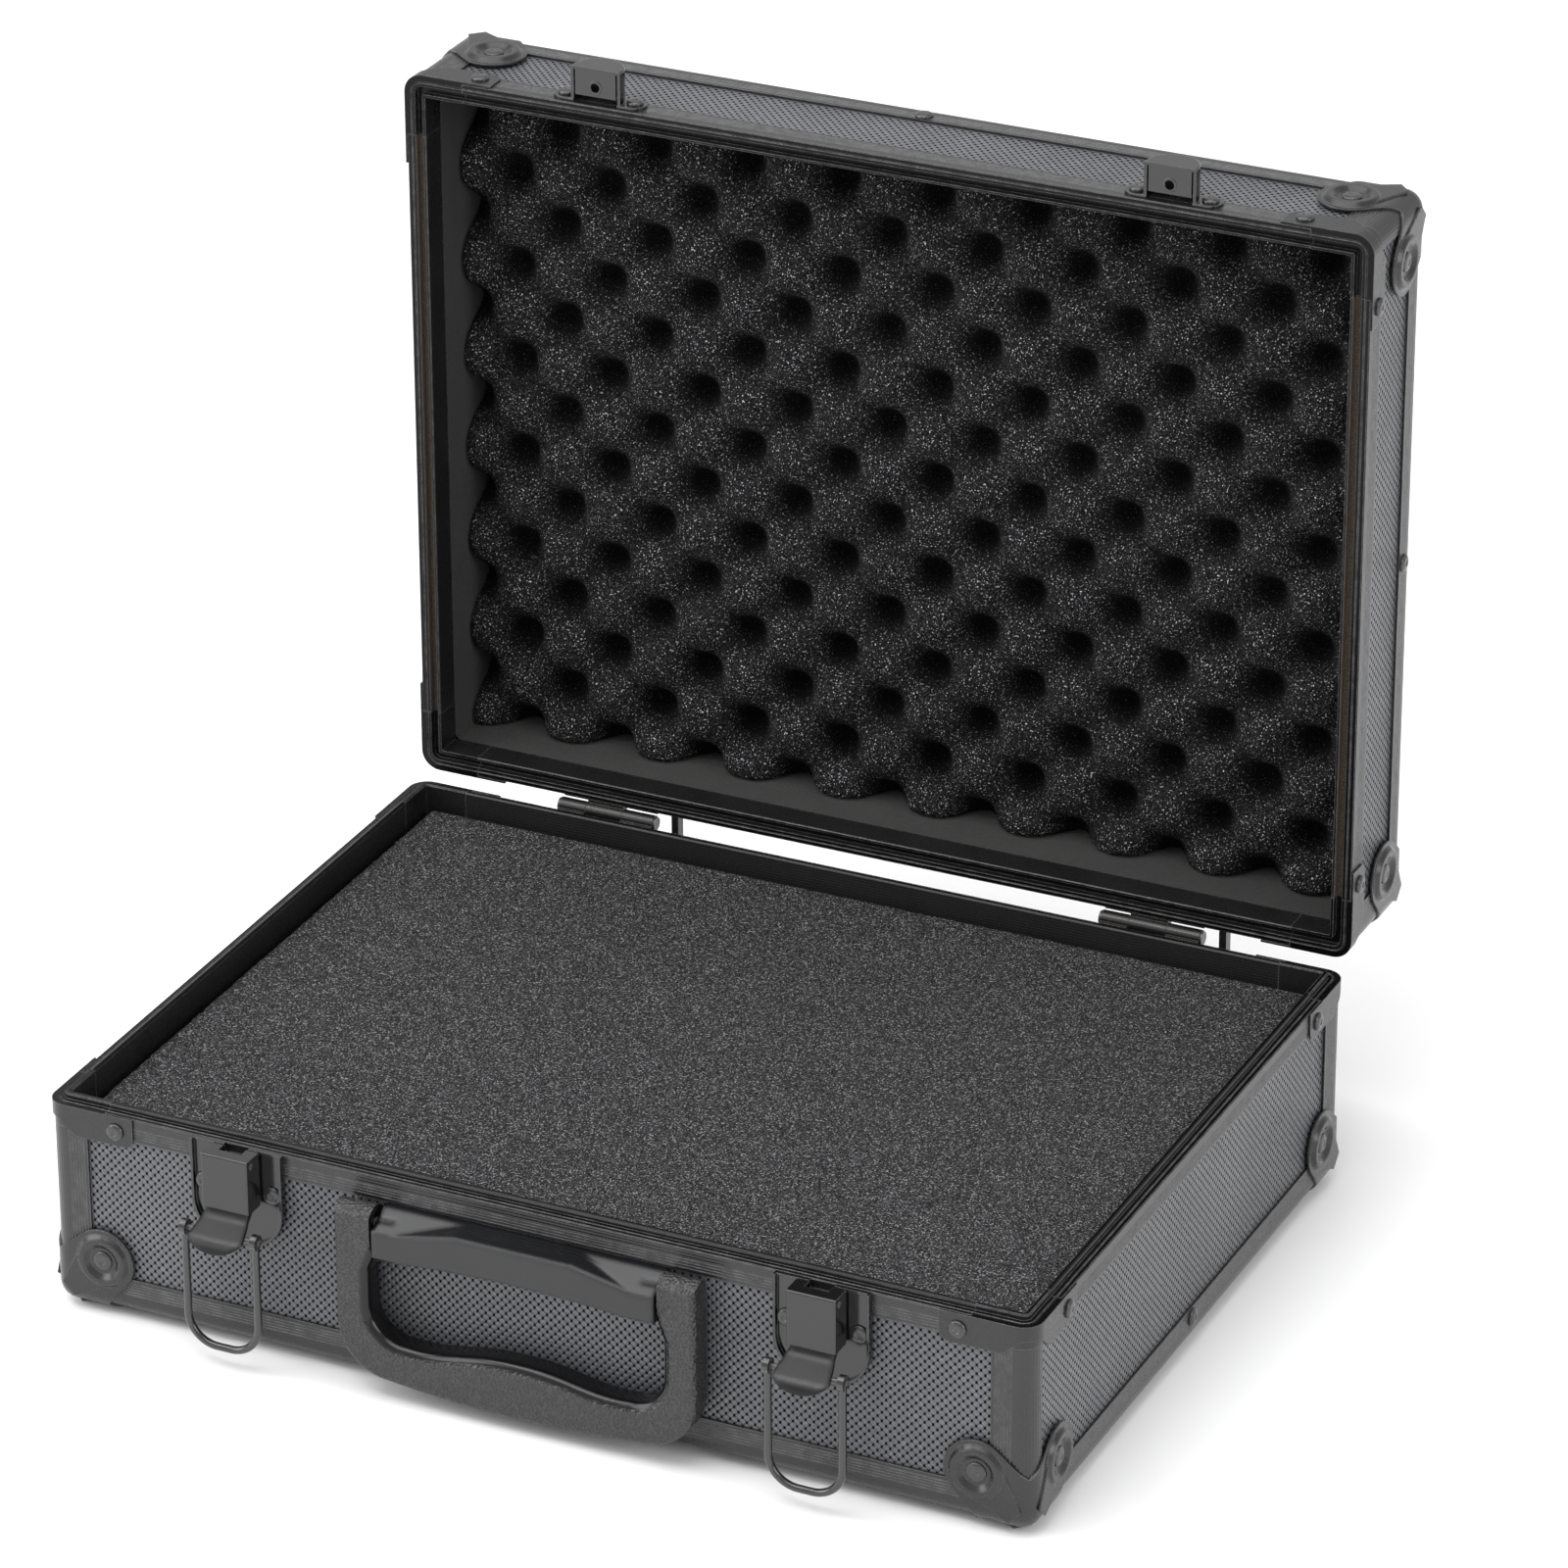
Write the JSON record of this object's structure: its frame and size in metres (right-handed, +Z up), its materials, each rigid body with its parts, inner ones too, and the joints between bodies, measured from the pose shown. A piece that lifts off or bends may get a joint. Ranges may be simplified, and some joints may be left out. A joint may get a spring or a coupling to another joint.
{
  "type": "attache case",
  "caption": "Small framed attache case with hinged lid, draw latches with wire bails, swinging handle, riveted corner protectors and foam-lined halves",
  "frame": {"origin": "middle of the open case's footprint, on the plane it rests on, that of the lowest faces of the four bottom corner protectors", "axes": "+X to the case's right, seen from the latches; +Y to the hinges; +Z up"},
  "size_m": [0.4052, 0.3824, 0.403],
  "materials": {
    "panel": "glossy dark blue-grey face with fine raised round studs on a bonded board",
    "frame": "dark grey anodised extrusion with fine lengthwise ribs",
    "corner_metal": "smooth satin dark grey pressed metal",
    "rivet": "dark satin domed rivet head",
    "latch": "glossy black plated pressed metal",
    "wire": "smooth black-plated wire",
    "pin": "dark steel",
    "hinge": "brownish dark steel",
    "handle": "leather-grained moulding with a smooth inner edge",
    "bracket": "satin black moulding",
    "lining": "dark felt",
    "foam": "open-cell charcoal foam"
  },
  "bodies": {
    "base": {"base_back_panel": "panel", "base_bottom_panel": "panel", "base_corner_posts": "frame", "base_corner_protectors": "corner_metal", "base_edge_profiles": "frame", "base_foam_block": "foam", "base_frame_rivets": "rivet", "base_front_panel": "panel", "base_left_panel": "panel", "base_lining": "lining", "base_protector_rivets": "rivet", "base_right_panel": "panel", "base_rim_corners": "corner_metal", "base_rim_profiles": "frame", "handle_bracket": "bracket", "handle_pivot_pins": "pin", "hinge_base_leaf_left": "hinge", "hinge_base_leaf_right": "hinge", "hinge_base_rivets": "rivet", "hinge_pins": "pin", "latch_lever_pins": "pin", "latch_plate_left": "latch", "latch_plate_right": "latch", "latch_plate_rivets": "rivet"},
    "lid": {"hinge_lid_leaf_left": "hinge", "hinge_lid_leaf_right": "hinge", "hinge_lid_rivets": "rivet", "latch_catch_left": "latch", "latch_catch_right": "latch", "latch_catch_rivets": "rivet", "lid_back_panel": "panel", "lid_corner_posts": "frame", "lid_corner_protectors": "corner_metal", "lid_edge_profiles": "frame", "lid_egg_crate_foam": "foam", "lid_frame_rivets": "rivet", "lid_front_panel": "panel", "lid_left_panel": "panel", "lid_lining": "lining", "lid_protector_rivets": "rivet", "lid_right_panel": "panel", "lid_rim_corners": "corner_metal", "lid_rim_profiles": "frame", "lid_top_panel": "panel"},
    "lever_left": {"latch_bail_pin_left": "pin", "latch_cover_left": "latch", "latch_lever_left": "latch"},
    "lever_right": {"latch_bail_pin_right": "pin", "latch_cover_right": "latch", "latch_lever_right": "latch"},
    "bail_left": {"latch_bail_left": "wire"},
    "bail_right": {"latch_bail_right": "wire"},
    "handle": {"handle_grip": "handle"}
  },
  "joints": [
    {"name": "lid_hinge", "type": "hinge", "parent": "base", "child": "lid", "pos_m": [0, 0.13415, 0.087], "axis": [-1, 0, 0], "range_deg": [-90, 0]},
    {"name": "handle_swing", "type": "hinge", "parent": "base", "child": "handle", "pos_m": [0, -0.1746, 0.0725], "axis": [-1, 0, 0], "range_deg": [0, 90]},
    {"name": "lever_left_turn", "type": "hinge", "parent": "base", "child": "lever_left", "pos_m": [-0.119, -0.17595, 0.0842], "axis": [-1, 0, 0], "range_deg": [0, 60]},
    {"name": "bail_left_swing", "type": "hinge", "parent": "lever_left", "child": "bail_left", "pos_m": [-0.119, -0.18335, 0.0574], "axis": [-1, 0, 0], "range_deg": [0, 158]},
    {"name": "lever_right_turn", "type": "hinge", "parent": "base", "child": "lever_right", "pos_m": [0.1185, -0.17595, 0.0842], "axis": [-1, 0, 0], "range_deg": [0, 60]},
    {"name": "bail_right_swing", "type": "hinge", "parent": "lever_right", "child": "bail_right", "pos_m": [0.1185, -0.18335, 0.0574], "axis": [-1, 0, 0], "range_deg": [0, 158]}
  ]
}
